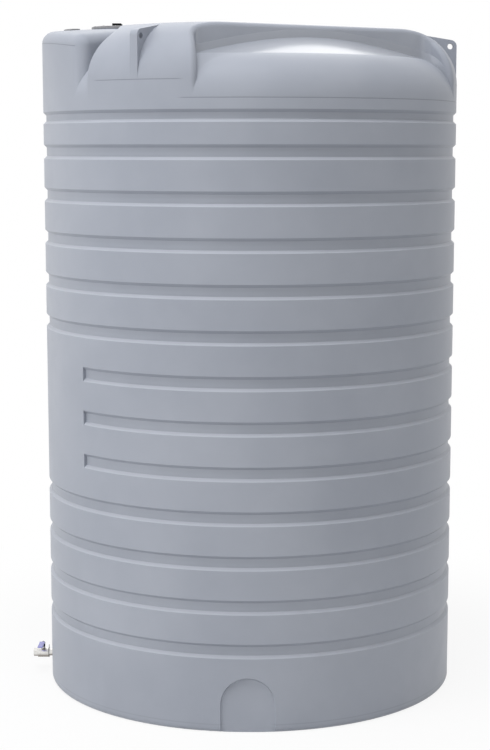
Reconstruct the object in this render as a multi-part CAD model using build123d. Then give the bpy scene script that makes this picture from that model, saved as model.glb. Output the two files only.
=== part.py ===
from build123d import *
from math import asin, cos, radians, sin, tan
import os

# Upright rotomoulded water tank with a strainer inlet and a ball valve outlet.
# Millimetres, +Z up, origin at the centre of the base on the tank's axis.
# Directions around the tank are azimuths: 0 is -Y, 90 is +X, -90 is -X, which is the outlet side.

# Barrel
TANK_R = 1080.0
WALL = 10.0
BASE_EDGE_R = 22.0

# Ring recesses around the barrel, placed by their mid height
GROOVE_DEPTH = 15.0
GROOVE_FLOOR_H = 43.0
FIRST_GROOVE_Z = 411.0
GROOVE_PITCH = 219.0
GROOVE_COUNT = 12
NECK_GROOVE_GAP = 171.0
NECK_GROOVE_FLOOR_H = 30.0

# Plain panel on the outlet side, where three recesses stop
PANEL_AZ = -90.0
PANEL_HALF_ANGLE = 40.2
PLAIN_GROOVE_COUNT = 3
LOWER_GROOVE_COUNT = 4

# Arch recesses at the foot
ARCH_AZIMUTHS = (-90.0, 0.0, 90.0, 180.0)
ARCH_W = 262.0
ARCH_H = 268.0
ARCH_DEPTH = 18.0
ARCH_DRAFT = 30.0

# Roof lobes that carry the lifting webs
LOBE_CREASE_GAP = 87.0
LOBE_SHOULDER_R = 278.0
CROWN_RISE = 20.0
CROWN_R = 480.0
CROWN_FLAT_R = 80.0

# Shelves between the lobes
SHELF_CREASE_GAP = 82.0
SHELF_SHOULDER_R = 223.0
SHELF_SLOPE = 17.9
BITE_AZIMUTHS = (30.0, 150.0, -90.0)
SEAM_AZIMUTH = 60.0  # where surfaces of revolution close, clear of the webs
BITE_CHORD_SHARE = 0.5926
BITE_CORNER_ANGLE = 46.3
BITE_FLARE = 20.3
BITE_CORNER_R = 60.0
LOBE_EDGE_R = 24.0

# Inlet platform, which fills the shelf on the outlet side
PLATFORM_HALF_ANGLE = 40.8
PLATFORM_ROOT = 140.0
PLATFORM_RISE = 8.0
PLATFORM_DOME_R = 4000.0
PLATFORM_EDGE_R = 62.0
PLATFORM_CORNER_R = 68.0
INLET_SEAT_H = 3.0
INLET_SEAT_MARGIN = 8.0

# Lifting webs
WEB_AZIMUTHS = (-30.0, 90.0, -150.0)
WEB_T = 42.0
WEB_HOLE_R = 15.0
WEB_RIM = 18.0
WEB_HOLE_DROP = 74.0
WEB_TOP_SLOPE = 9.5

# Inlet collar, basket and lid
INLET_FROM_RIM = 388.0
INLET_CUT_R = 110.0
GASKET_T = 2.0
RING_FLANGE_R = 135.0
RING_FLANGE_T = 6.0
RING_GAP = 2.0
RING_NECK_T = 4.0
RING_NECK_H = 54.0
LEDGE_DROP = 30.0
LEDGE_W = 10.0
LEDGE_T = 4.0
TAB_DROP = 8.0
TAB_T = 6.0
TAB_W = 9.0
TAB_ANGLE = 40.0
RING_SCREW_COUNT = 8
RING_SCREW_R = 2.5
RING_SCREW_HEAD_R = 4.5
RING_SCREW_HEAD_H = 3.0
BASKET_GAP = 2.0
BASKET_T = 2.5
BASKET_DEPTH = 190.0
BASKET_RIM_T = 3.0
BASKET_SLOT_COUNT = 16
BASKET_SLOT_W = 18.0
BASKET_SLOT_H = 150.0
FLOOR_SLOT_COUNT = 8
LID_R = 135.0
LID_T = 7.0
LID_CROWN = 2.0
LID_SKIRT_H = 5.0
LID_SKIRT_T = 2.5
LID_SKIRT_GAP = 1.2

# Black knob, latch bar and their screw
KNOB_BASE_R = 28.0
KNOB_BASE_H = 6.0
KNOB_H = 18.0
KNOB_WING_T = 24.0
KNOB_SHANK_R = 10.0
KNOB_SQUARE = 12.0
KNOB_CLEARANCE = 0.3
RUNNING = 0.05
BAR_W = 26.0
BAR_T = 5.0
BAR_END_GAP = 5.0
KNOB_SCREW_R = 3.0
KNOB_SCREW_HEAD_R = 9.0
KNOB_SCREW_HEAD_H = 4.0
KNOB_SCREW_L = 16.0

# Spare port near the platform's rim
PORT_GAP = 57.0
PORT_BOSS_R = 46.0
PORT_BOSS_H = 6.0
PORT_CUT_R = 27.0
GROMMET_T = 3.0
GROMMET_LIP_R = 32.0
GROMMET_LIP_T = 2.0
PLUG_HEAD_R = 43.0
PLUG_HEAD_T = 7.0
PLUG_DEPTH = 26.0
PLUG_T = 3.0

# Outlet fitting through the wall
OUTLET_Z = 90.0
PIPE_BORE_R = 12.5
THREAD_R = 16.6
OUTLET_CUT_R = 17.0
INNER_FLANGE_R = 34.0
INNER_FLANGE_T = 6.0
SEAL_T = 3.0
INNER_SEAL_R = 32.0
OUTER_SEAL_R = 28.0
BACKNUT_AF = 50.0
BACKNUT_T = 12.0
NIPPLE_R = 19.5
NIPPLE_L = 22.0
NIPPLE_OFFSET = 20.0
SPIGOT_ENTRY = 16.0
NIPPLE_TAIL = 14.0
LOCKNUT_R = 28.0
LOCKNUT_T = 3.0
LOCK_TAB_W = 10.0
LOCK_TAB_H = 42.0

# Ball valve
VALVE_R = 27.0
VALVE_BODY_L = 60.0
VALVE_SOCKET_L = 14.0
VALVE_WEB_T = 2.0
CHAMBER_R = 19.8
CHAMBER_HALF_L = 15.0
BALL_R = 18.0
SEAT_T = 6.0
SEAT_BORE_R = 13.0
SEAT_CLEARANCE = 0.15
CAP_AF = 41.0
CAP_HEX_L = 22.0
CAP_SOCKET_L = 18.0
BOSS_R = 11.0
BOSS_H = 6.0
STEM_R = 5.0
STEM_FOOT_GAP = 0.3
STEM_FLAT = 7.0
PACKING_R = 8.5
PACKING_H = 5.0
GLAND_AF = 19.0
GLAND_H = 16.0
LEVER_W = 22.0
LEVER_T = 3.0
LEVER_RISE = 15.0
LEVER_RAMP = 22.0
LEVER_BASE_L = 14.0
LEVER_L = 132.0
SLEEVE_T = 3.0
SLEEVE_L = 92.0
LEVER_NUT_AF = 13.0
LEVER_NUT_H = 8.0
STEM_TIP = 3.0


# Values that follow from the sizes above
NECK_GROOVE_Z = FIRST_GROOVE_Z + GROOVE_PITCH * (GROOVE_COUNT - 1) + NECK_GROOVE_GAP
SHELF_CREASE_Z = NECK_GROOVE_Z + SHELF_CREASE_GAP
LOBE_CREASE_Z = SHELF_CREASE_Z + LOBE_CREASE_GAP
PLATEAU_Z = LOBE_CREASE_Z + LOBE_SHOULDER_R
PLATFORM_DOME_Z = PLATEAU_Z + PLATFORM_RISE
PLATFORM_Z = PLATFORM_DOME_Z + INLET_SEAT_H
WEB_HOLE_Z = PLATEAU_Z - WEB_HOLE_DROP
OFFSET_45 = tan(radians(22.5))
ROOF_CLEAR_Z = PLATEAU_Z + LOBE_SHOULDER_R
OUTLET_FACE = TANK_R - ARCH_DEPTH
BITE_CHORD = TANK_R * BITE_CHORD_SHARE
BEYOND_RIM = 1.2 * TANK_R
INLET_R_POS = TANK_R - INLET_FROM_RIM
PORT_FROM_INLET = RING_FLANGE_R + PORT_GAP + PORT_BOSS_R


def around_axis(shape, azimuth):
    """Turn a shape drawn on the -Y side to the given azimuth."""
    return Rot(0, 0, azimuth) * shape


def groove_heights():
    """Mid height and floor height of each recess, from the bottom up."""
    rings = [(FIRST_GROOVE_Z + GROOVE_PITCH * i, GROOVE_FLOOR_H) for i in range(GROOVE_COUNT)]
    return rings + [(NECK_GROOVE_Z, NECK_GROOVE_FLOOR_H)]


def revolved(edges):
    """Turn a half section in the XZ plane into a solid of revolution, with its seam on a shelf."""
    return Rot(0, 0, SEAM_AZIMUTH - 90) * revolve(make_face(edges), Axis.Z)


def barrel_section(inset):
    """Half section of the barrel and the low roof, moved inwards by the inset."""
    wall = TANK_R - inset
    edge = JernArc((TANK_R - BASE_EDGE_R, inset), (1, 0), BASE_EDGE_R - inset, 90)
    points = [edge @ 1]
    for middle, floor_h in groove_heights():
        half_floor = floor_h / 2 + inset * OFFSET_45
        half_mouth = half_floor + GROOVE_DEPTH
        points += [
            (wall, middle - half_mouth),
            (wall - GROOVE_DEPTH, middle - half_floor),
            (wall - GROOVE_DEPTH, middle + half_floor),
            (wall, middle + half_mouth),
        ]
    points.append((wall, SHELF_CREASE_Z))
    side = Polyline(*points)
    shoulder = JernArc(side @ 1, (0, 1), SHELF_SHOULDER_R - inset, 90 - SHELF_SLOPE)
    rim = shoulder @ 1
    inner_r = BITE_CHORD - inset - 4 * WALL
    dome = Line(rim, (inner_r, rim.Y + (rim.X - inner_r) * tan(radians(SHELF_SLOPE))))
    close = Polyline(dome @ 1, (0, (dome @ 1).Y), (0, inset), edge @ 0)
    return [Plane.XZ * e for e in (edge, side, shoulder, dome, close)]


def crown_section(inset):
    """Half section of the high roof: lobe shoulder, plateau and a shallow crown."""
    wall = TANK_R - inset
    side = Line((wall, SHELF_CREASE_Z), (wall, LOBE_CREASE_Z))
    shoulder = JernArc(side @ 1, (0, 1), LOBE_SHOULDER_R - inset, 90)
    top_z = (shoulder @ 1).Y
    peak_z = top_z + CROWN_RISE
    crown = Polyline(
        shoulder @ 1,
        (CROWN_R, top_z),
        (CROWN_FLAT_R, peak_z),
        (0, peak_z),
        (0, SHELF_CREASE_Z),
        side @ 0,
    )
    return [Plane.XZ * e for e in (side, shoulder, crown)]


def bite(inset):
    """Upright prism that is taken out of the high roof between two lobes."""
    chord_y = -(BITE_CHORD - inset)
    half_w = BITE_CHORD * tan(radians(BITE_CORNER_ANGLE)) + inset
    out_w = half_w + (BEYOND_RIM + chord_y) * tan(radians(BITE_FLARE))
    points = [(-half_w, chord_y), (-out_w, -BEYOND_RIM), (out_w, -BEYOND_RIM), (half_w, chord_y)]
    outline = make_face(Polyline(*points, close=True))
    corners = outline.vertices().group_by(Axis.Y)[-1]
    outline = fillet(corners, BITE_CORNER_R + inset)
    prism = extrude(outline, ROOF_CLEAR_Z - SHELF_CREASE_Z + 2 * WALL)
    return Pos(0, 0, SHELF_CREASE_Z - WALL) * prism


def high_roof(inset):
    """The three lobes and the plateau between them, with rounded edges."""
    crown = revolved(crown_section(inset))
    bites = [around_axis(bite(inset), azimuth) for azimuth in BITE_AZIMUTHS]
    roof = crown - bites
    cut_edges = new_edges(crown, *bites, combined=roof)
    upper = [edge for edge in cut_edges if edge.center().Z > SHELF_CREASE_Z + WALL]
    return fillet(upper, LOBE_EDGE_R - inset)


def platform(inset):
    """The domed seat of the inlet with rounded edges, drawn on the -Y side."""
    spread = radians(PLATFORM_HALF_ANGLE)
    inner = BITE_CHORD - PLATFORM_ROOT + inset
    inner_w = inner * tan(spread) - inset / cos(spread)
    outer_w = BEYOND_RIM * tan(spread) - inset / cos(spread)
    outline = Polyline(
        (-inner_w, -inner), (-outer_w, -BEYOND_RIM), (outer_w, -BEYOND_RIM), (inner_w, -inner), close=True
    )
    seat = Pos(0, 0, SHELF_CREASE_Z) * extrude(make_face(outline), ROOF_CLEAR_Z - SHELF_CREASE_Z)
    seat &= Cylinder(TANK_R - inset, 2 * ROOF_CLEAR_Z)
    dome = Sphere(PLATFORM_DOME_R - inset)
    seat &= Pos(0, -INLET_R_POS, PLATFORM_DOME_Z - PLATFORM_DOME_R) * Rot(90, 0, 0) * dome
    corners = seat.edges().filter_by(Axis.Z).group_by(Axis.Y)[0]
    seat = fillet(corners, PLATFORM_CORNER_R - inset)
    rim = [edge for edge in seat.edges() if edge.center().Y < -inner - 1]
    upper = [edge for edge in rim if edge.center().Z > LOBE_CREASE_Z + PLATFORM_ROOT]
    return fillet(upper, PLATFORM_EDGE_R - inset)


def panel(inset):
    """Plain part of the barrel that fills the recesses on the outlet side."""
    rings = groove_heights()
    plain = rings[LOWER_GROOVE_COUNT : LOWER_GROOVE_COUNT + PLAIN_GROOVE_COUNT]
    margin = GROOVE_FLOOR_H / 2 + GROOVE_DEPTH + 2 * WALL
    low = plain[0][0] - margin
    high = plain[-1][0] + margin
    half_angle = PANEL_HALF_ANGLE - inset / radians(TANK_R)
    inner = TANK_R - GROOVE_DEPTH - 4 * WALL
    width = TANK_R - inset - inner
    section = Plane.XZ * Pos(inner + width / 2, (low + high) / 2) * Rectangle(width, high - low)
    sector = revolve(section, Axis.Z, 2 * half_angle)
    return Rot(0, 0, -90 - half_angle) * sector


def arch_cut(inset):
    """Arched pocket with a flat back and drafted edges, drawn on the -Y side."""
    radius = ARCH_W / 2 + inset
    straight = ARCH_H - ARCH_W / 2
    foot = -2 * BASE_EDGE_R
    outline = Pos(0, (straight + foot) / 2) * Rectangle(2 * radius, straight - foot)
    outline += Pos(0, straight) * Circle(radius)
    back = Plane((0, -(OUTLET_FACE - inset), 0), x_dir=(1, 0, 0), z_dir=(0, -1, 0))
    return extrude(back * outline, 2 * ARCH_DEPTH + 2 * inset, taper=-ARCH_DRAFT)


def web():
    """Lifting web with its hole, drawn on the -Y side and flush with the barrel."""
    rim = WEB_HOLE_R + WEB_RIM
    hole_r = TANK_R - rim
    slope = radians(WEB_TOP_SLOPE)
    top = (hole_r + rim * sin(slope), WEB_HOLE_Z + rim * cos(slope))
    buried_z = PLATEAU_Z - WALL
    inner_r = top[0] - (buried_z - top[1]) / tan(slope)
    arc = RadiusArc((hole_r + rim, WEB_HOLE_Z), top, -rim)
    sides = Polyline(
        arc @ 1, (inner_r, buried_z), (inner_r, LOBE_CREASE_Z), (hole_r + rim, LOBE_CREASE_Z), arc @ 0
    )
    blade = extrude(Plane.XZ * make_face([arc, sides]), WEB_T / 2, both=True)
    blade -= Pos(hole_r, 0, WEB_HOLE_Z) * Rot(90, 0, 0) * Cylinder(WEB_HOLE_R, 2 * WEB_T)
    blade &= Cylinder(TANK_R, 2 * ROOF_CLEAR_Z)
    return Rot(0, 0, -90) * blade


def tank_form(inset):
    """The moulding's outer form for no inset, or its cavity for an inset of one wall."""
    plain_panel = around_axis(panel(inset), PANEL_AZ)
    inlet_platform = around_axis(platform(inset), BITE_AZIMUTHS[2])
    form = revolved(barrel_section(inset)) + [plain_panel, high_roof(inset), inlet_platform]
    return form - [around_axis(arch_cut(inset), azimuth) for azimuth in ARCH_AZIMUTHS]


def port_place():
    """Plane on the platform's dome where the spare port's boss stands."""
    tilt = asin(PORT_FROM_INLET / PLATFORM_DOME_R)
    height = PLATFORM_DOME_Z - PLATFORM_DOME_R * (1 - cos(tilt))
    place = (-INLET_R_POS - PORT_FROM_INLET, 0, height)
    return Plane(place, x_dir=(0, -1, 0), z_dir=(-sin(tilt), 0, cos(tilt)))


def inlet_place():
    """Location on the platform at the inlet's axis."""
    return Pos(-INLET_R_POS, 0, PLATFORM_Z)


def outlet_place(distance):
    """Location on the outlet's axis at a distance from the tank's axis, with +Z outwards."""
    return Pos(-distance, 0, OUTLET_Z) * Rot(0, -90, 0)


def disc(radius, low, high):
    """Cylinder between two heights on its own axis."""
    return Pos(0, 0, (low + high) / 2) * Cylinder(radius, high - low)


def tube(outer, inner, low, high):
    """Straight tube between two heights on its own axis."""
    return disc(outer, low, high) - disc(inner, low - 1, high + 1)


def hexagon(across_flats, low, high):
    """Hexagonal bar between two heights on its own axis."""
    return Pos(0, 0, low) * extrude(RegularPolygon(across_flats / 2, 6, major_radius=False), high - low)


def ring_screw_places():
    """Places of the collar's screws, clear of the latch bar's two ends."""
    radius = (RING_FLANGE_R + INLET_CUT_R) / 2
    turn = 360 / RING_SCREW_COUNT
    angles = [turn * (i + 0.5) for i in range(RING_SCREW_COUNT)]
    return [Rot(0, 0, angle) * Pos(radius, 0, 0) for angle in angles]


# Tank shell
def tank_shell():
    """The hollow moulding with its webs, port boss and holes."""
    port = port_place()
    port_boss = port * disc(PORT_BOSS_R, -WALL, PORT_BOSS_H)
    inlet_seat = inlet_place() * disc(RING_FLANGE_R + INLET_SEAT_MARGIN, -WALL, 0)
    webs = [around_axis(web(), azimuth) for azimuth in WEB_AZIMUTHS]
    shell = tank_form(0.0) + [*webs, port_boss, inlet_seat]
    shell -= tank_form(WALL)
    shell -= port * disc(PORT_CUT_R + GROMMET_T, -4 * WALL, PORT_BOSS_H + 1)
    shell -= inlet_place() * disc(INLET_CUT_R, -4 * WALL, 1)
    for place in ring_screw_places():
        shell -= inlet_place() * place * disc(RING_SCREW_R, -2 * WALL, 1)
    shell -= outlet_rod(OUTLET_CUT_R, OUTLET_FACE - 3 * WALL, OUTLET_FACE + 1)
    return shell


# Inlet collar and what it holds
RING_TOP = GASKET_T + RING_FLANGE_T
RING_NECK_R = INLET_CUT_R - RING_GAP
RING_BORE_R = RING_NECK_R - RING_NECK_T
LEDGE_R = RING_BORE_R - LEDGE_W
LEDGE_TOP = RING_TOP - LEDGE_DROP
TAB_FOOT = RING_TOP - TAB_DROP - TAB_T


def inlet_gasket():
    """Flat rubber ring between the collar and the platform."""
    gasket = tube(RING_FLANGE_R - RING_GAP, INLET_CUT_R, 0, GASKET_T)
    for place in ring_screw_places():
        gasket -= place * disc(RING_SCREW_R + RING_GAP / 4, -1, GASKET_T + 1)
    return inlet_place() * gasket


def inlet_ring():
    """Collar with a screwed flange, a neck, a ledge for the basket and two lock tabs."""
    ring = tube(RING_FLANGE_R, RING_BORE_R, GASKET_T, RING_TOP)
    ring += tube(RING_NECK_R, RING_BORE_R, RING_TOP - RING_NECK_H, RING_TOP)
    ring += tube(RING_BORE_R + RING_NECK_T / 2, LEDGE_R, LEDGE_TOP - LEDGE_T, LEDGE_TOP)
    tabs = tube(RING_BORE_R + RING_NECK_T / 2, RING_BORE_R - TAB_W, TAB_FOOT, TAB_FOOT + TAB_T)
    half_w = RING_BORE_R * sin(radians(TAB_ANGLE / 2))
    ring += tabs & Box(2 * RING_FLANGE_R, 2 * half_w, 4 * RING_NECK_H)
    for place in ring_screw_places():
        ring -= place * disc(RING_SCREW_R + RING_GAP / 4, 0, RING_TOP + 1)
        ring -= place * disc(RING_SCREW_HEAD_R + RING_GAP / 4, RING_TOP - RING_SCREW_HEAD_H, RING_TOP + 1)
    return inlet_place() * ring


def ring_screws():
    """Pan head screws that hold the collar to the platform, as one group."""
    head_foot = RING_TOP - RING_SCREW_HEAD_H
    screw = disc(RING_SCREW_R, -WALL, head_foot)
    screw += disc(RING_SCREW_HEAD_R, head_foot, RING_TOP - RING_GAP / 4)
    return Compound([inlet_place() * place * screw for place in ring_screw_places()])


def strainer_basket():
    """Leaf basket with a notched rim that hangs on the collar's ledge."""
    outer = LEDGE_R - BASKET_GAP
    foot = LEDGE_TOP - BASKET_DEPTH
    basket = disc(outer, foot, LEDGE_TOP + BASKET_RIM_T) - disc(outer - BASKET_T, foot + BASKET_T, RING_TOP)
    rim = tube(RING_BORE_R - BASKET_GAP, outer - BASKET_T, LEDGE_TOP, LEDGE_TOP + BASKET_RIM_T)
    notch_w = 2 * RING_BORE_R * sin(radians(TAB_ANGLE / 2)) + 2 * BASKET_GAP
    notches = Box(notch_w, 3 * RING_FLANGE_R, 4 * RING_NECK_H) - disc(LEDGE_R, -RING_NECK_H * 3, RING_NECK_H)
    basket += rim - notches
    slot_mid = (foot + LEDGE_TOP - LEDGE_T) / 2
    slot = Pos(outer, 0, slot_mid) * Box(4 * BASKET_T, BASKET_SLOT_W, BASKET_SLOT_H)
    slot = fillet(slot.edges().filter_by(Axis.X), BASKET_SLOT_W / 3)
    for i in range(BASKET_SLOT_COUNT):
        basket -= Rot(0, 0, 360 / BASKET_SLOT_COUNT * i) * slot
    drain = Pos(outer / 2, 0, foot) * Box(outer / 2, BASKET_SLOT_W, 4 * BASKET_T)
    for i in range(FLOOR_SLOT_COUNT):
        basket -= Rot(0, 0, 360 / FLOOR_SLOT_COUNT * i) * drain
    return inlet_place() * basket


def inlet_lid():
    """Round lid with a low crown and a skirt that centres it in the collar."""
    half = LID_R - 2 * LID_CROWN
    top = RING_TOP + LID_T
    crown = ThreePointArc((half, top), (half / 2, top + 0.75 * LID_CROWN), (0, top + LID_CROWN))
    foot = [(0, top + LID_CROWN), (0, RING_TOP), (LID_R, RING_TOP)]
    rest = Polyline(*foot, (LID_R, top - LID_T / 3), (half, top))
    lid = revolved([Plane.XZ * crown, Plane.XZ * rest])
    skirt_r = RING_BORE_R - LID_SKIRT_GAP
    lid += tube(skirt_r, skirt_r - LID_SKIRT_T, RING_TOP - LID_SKIRT_H, RING_TOP + 1)
    seat = top + LID_CROWN
    lid -= disc(KNOB_BASE_R + 2 * KNOB_CLEARANCE, seat - LID_CROWN / 4, seat + 1)
    lid -= disc(KNOB_SHANK_R + RUNNING, 0, seat + 1)
    lid += tube(KNOB_SHANK_R + LID_T / 2, KNOB_SHANK_R + RUNNING, TAB_FOOT + BAR_T / 2, RING_TOP + 1)
    return inlet_place() * lid


# Knob, latch bar and screw, which turn together in the lid
KNOB_SEAT = RING_TOP + LID_T + LID_CROWN - LID_CROWN / 4
BAR_TOP = TAB_FOOT - KNOB_CLEARANCE
BAR_FOOT = BAR_TOP - BAR_T


def lid_knob():
    """Black knob with a pointed wing, a round shank and a square foot for the bar."""
    low = KNOB_SEAT + KNOB_CLEARANCE
    knob = disc(KNOB_BASE_R, low, low + KNOB_BASE_H)
    point = KNOB_BASE_R - KNOB_H / 2
    wing = Polyline(
        (-KNOB_BASE_R, 0),
        (-KNOB_BASE_R, KNOB_H),
        (point, KNOB_H),
        (KNOB_BASE_R, KNOB_H / 2),
        (KNOB_BASE_R - KNOB_H / 4, 0),
        close=True,
    )
    blade = Pos(0, 0, low) * extrude(Plane.XZ * make_face(wing), KNOB_WING_T / 2, both=True)
    edges = blade.edges().filter_by(Axis.Y).sort_by(Axis.Z)[-2:]
    knob += fillet(edges, KNOB_BASE_H / 3) & disc(KNOB_BASE_R, low, low + KNOB_H)
    knob += disc(KNOB_SHANK_R, BAR_TOP, low + 1)
    knob += Pos(0, 0, (BAR_TOP + BAR_FOOT + 1) / 2) * Box(KNOB_SQUARE, KNOB_SQUARE, BAR_T - 1)
    knob -= disc(KNOB_SCREW_R, BAR_FOOT, BAR_FOOT + KNOB_SCREW_L)
    return inlet_place() * knob


def latch_bar():
    """Flat bar that turns under the collar's tabs."""
    half = RING_BORE_R - BAR_END_GAP
    bar = disc(half, BAR_FOOT, BAR_TOP) & Box(2 * half, BAR_W, 4 * RING_NECK_H)
    bar -= Pos(0, 0, BAR_TOP) * Box(KNOB_SQUARE + 2 * RUNNING, KNOB_SQUARE + 2 * RUNNING, 2 * BAR_T + 1)
    return inlet_place() * bar


def knob_screw():
    """Screw with a wide head that holds the bar on the knob's square."""
    screw = disc(KNOB_SCREW_HEAD_R, BAR_FOOT - KNOB_SCREW_HEAD_H, BAR_FOOT)
    screw += disc(KNOB_SCREW_R, BAR_FOOT, BAR_FOOT + KNOB_SCREW_L - 1)
    return inlet_place() * screw


# Spare port
def port_grommet():
    """Rubber sleeve with a lip that lines the port's hole."""
    grommet = tube(PORT_CUT_R + GROMMET_T, PORT_CUT_R, -WALL, PORT_BOSS_H)
    grommet += tube(GROMMET_LIP_R + GROMMET_T, PORT_CUT_R, PORT_BOSS_H, PORT_BOSS_H + GROMMET_LIP_T)
    return port_place() * grommet


def port_plug():
    """Hollow blanking plug with a thin head, pushed into the grommet."""
    seat = PORT_BOSS_H + GROMMET_LIP_T
    plug = disc(PLUG_HEAD_R, seat, seat + PLUG_HEAD_T)
    plug = fillet(plug.edges().group_by(Axis.Z)[-1], PLUG_HEAD_T / 2)
    plug += disc(PORT_CUT_R, seat - PLUG_DEPTH, seat)
    plug -= disc(PORT_CUT_R - PLUG_T, seat - PLUG_DEPTH - 1, seat)
    return port_place() * plug


# Outlet fitting, from inside the tank outwards
WALL_INSIDE = OUTLET_FACE - WALL
FLANGE_FACE = WALL_INSIDE - SEAL_T
NIPPLE_START = OUTLET_FACE + NIPPLE_OFFSET
SPIGOT_END = NIPPLE_START + SPIGOT_ENTRY
NIPPLE_END = NIPPLE_START + NIPPLE_L
VALVE_START = NIPPLE_END + LOCKNUT_T


def outlet_rod(radius, start, end):
    """Cylinder on the outlet's axis between two distances from the tank's axis."""
    return outlet_place(start) * disc(radius, 0, end - start)


def outlet_tube(outer, inner, start, end):
    """Tube on the outlet's axis between two distances from the tank's axis."""
    return outlet_rod(outer, start, end) - outlet_rod(inner, start - 1, end + 1)


def outlet_fitting():
    """Threaded spigot whose flange bears on the wall from inside."""
    fitting = outlet_tube(INNER_FLANGE_R, PIPE_BORE_R, FLANGE_FACE - INNER_FLANGE_T, FLANGE_FACE)
    return fitting + outlet_tube(THREAD_R, PIPE_BORE_R, FLANGE_FACE - INNER_FLANGE_T, SPIGOT_END)


def outlet_backnut():
    """Hexagonal nut that clamps the fitting on the arch's flat back."""
    start = OUTLET_FACE + SEAL_T
    return outlet_place(start) * (hexagon(BACKNUT_AF, 0, BACKNUT_T) - disc(THREAD_R, -1, BACKNUT_T + 1))


def outlet_nipple():
    """Short socket on the spigot with a threaded tail for the valve."""
    nipple = outlet_rod(NIPPLE_R, NIPPLE_START, NIPPLE_END)
    nipple += outlet_rod(THREAD_R, NIPPLE_END, VALVE_START + NIPPLE_TAIL)
    nipple -= outlet_rod(THREAD_R, NIPPLE_START - 1, SPIGOT_END)
    return nipple - outlet_rod(PIPE_BORE_R, NIPPLE_START, VALVE_START + NIPPLE_TAIL + 1)


def nipple_locknut():
    """Thin round nut with one spanner tab, tightened against the nipple."""
    tab_x = -(NIPPLE_END + VALVE_START) / 2
    nut = outlet_rod(LOCKNUT_R, NIPPLE_END, VALVE_START)
    nut += Pos(tab_x, 0, OUTLET_Z + LOCK_TAB_H / 2) * Box(LOCKNUT_T, LOCK_TAB_W, LOCK_TAB_H)
    return nut - outlet_rod(THREAD_R, NIPPLE_END - 1, VALVE_START + 1)


# Ball valve
CHAMBER_START = VALVE_START + VALVE_SOCKET_L + VALVE_WEB_T
BALL_CENTRE = CHAMBER_START + CHAMBER_HALF_L
CHAMBER_END = BALL_CENTRE + CHAMBER_HALF_L
BODY_END = VALVE_START + VALVE_BODY_L
CAP_END = BODY_END + CAP_HEX_L
BOSS_TOP = OUTLET_Z + VALVE_R + BOSS_H
GLAND_TOP = BOSS_TOP + GLAND_H
STEM_FOOT_TOP = OUTLET_Z + CHAMBER_R - STEM_FOOT_GAP
STEM_TOP = GLAND_TOP + LEVER_T + LEVER_NUT_H + STEM_TIP


def stem_place(height=0.0):
    """Location on the stem's axis at a height above the floor."""
    return Pos(-BALL_CENTRE, 0, height)


def valve_body():
    """Body with a socket, the ball's chamber and a boss for the stem."""
    body = outlet_tube(VALVE_R, PIPE_BORE_R, VALVE_START, BODY_END)
    body = chamfer(body.edges().filter_by(GeomType.CIRCLE).group_by(SortBy.RADIUS)[-1], VALVE_WEB_T)
    body += stem_place() * disc(BOSS_R, OUTLET_Z + VALVE_R / 2, BOSS_TOP)
    body -= outlet_rod(THREAD_R, VALVE_START - 1, VALVE_START + VALVE_SOCKET_L)
    body -= outlet_rod(CHAMBER_R, CHAMBER_START, BODY_END + 1)
    body -= outlet_rod(PIPE_BORE_R, VALVE_START - 1, BODY_END)
    body -= stem_place() * disc(STEM_R + RUNNING, OUTLET_Z, BOSS_TOP + 1)
    body -= stem_place() * disc(PACKING_R, BOSS_TOP - PACKING_H, BOSS_TOP + 1)
    return body


def valve_end_cap():
    """Outer end with a hexagon, screwed into the body to hold the outer seat."""
    cap = outlet_tube(CHAMBER_R, PIPE_BORE_R, CHAMBER_END, BODY_END)
    hex_end = hexagon(CAP_AF, 0, CAP_HEX_L) & (
        Pos(0, 0, CAP_HEX_L / 2) * Cylinder(CAP_AF / 2 / cos(radians(30)) - 1, CAP_HEX_L)
    )
    cap += outlet_place(BODY_END) * hex_end
    cap -= outlet_rod(PIPE_BORE_R, CHAMBER_END - 1, CAP_END)
    cap -= outlet_rod(THREAD_R, CAP_END - CAP_SOCKET_L, CAP_END + 1)
    return cap


def valve_ball():
    """Bored ball, shut at rest with its bore across the pipe, slotted for the stem."""
    ball = Sphere(BALL_R) - Rot(90, 0, 0) * Cylinder(PIPE_BORE_R, 3 * BALL_R)
    slot_foot = PIPE_BORE_R + (BALL_R - PIPE_BORE_R) / 3
    ball -= Pos(0, 0, slot_foot + BALL_R / 2) * Box(STEM_FLAT, 2 * BALL_R, BALL_R)
    return Pos(-BALL_CENTRE, 0, OUTLET_Z) * ball


def valve_seats():
    """Two seat rings with spherical faces either side of the ball, as one group."""
    ball_space = outlet_place(BALL_CENTRE) * Sphere(BALL_R + SEAT_CLEARANCE)
    inner = outlet_tube(CHAMBER_R, SEAT_BORE_R, CHAMBER_START, CHAMBER_START + SEAT_T) - ball_space
    outer = outlet_tube(CHAMBER_R, SEAT_BORE_R, CHAMBER_END - SEAT_T, CHAMBER_END) - ball_space
    return Compound([inner.solid(), outer.solid()])


def valve_stem():
    """Stem with a tongue in the ball's slot, a foot collar and a flatted top."""
    tongue_foot = OUTLET_Z + PIPE_BORE_R + (BALL_R - PIPE_BORE_R) / 3 + STEM_FOOT_GAP
    tongue = disc(STEM_R, tongue_foot, STEM_FOOT_TOP) & Box(STEM_FLAT - 2 * RUNNING, 4 * STEM_R, 4 * OUTLET_Z)
    stem = tongue + disc(STEM_R, OUTLET_Z + BALL_R + STEM_FOOT_GAP, GLAND_TOP)
    tip = disc(STEM_R, GLAND_TOP, STEM_TOP) & Box(STEM_FLAT, 4 * STEM_R, 4 * STEM_TOP)
    return stem_place() * (stem + tip)


def stem_packing():
    """Ring that seals the stem under the gland nut."""
    return stem_place() * tube(PACKING_R, STEM_R + RUNNING, BOSS_TOP - PACKING_H, BOSS_TOP)


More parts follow.
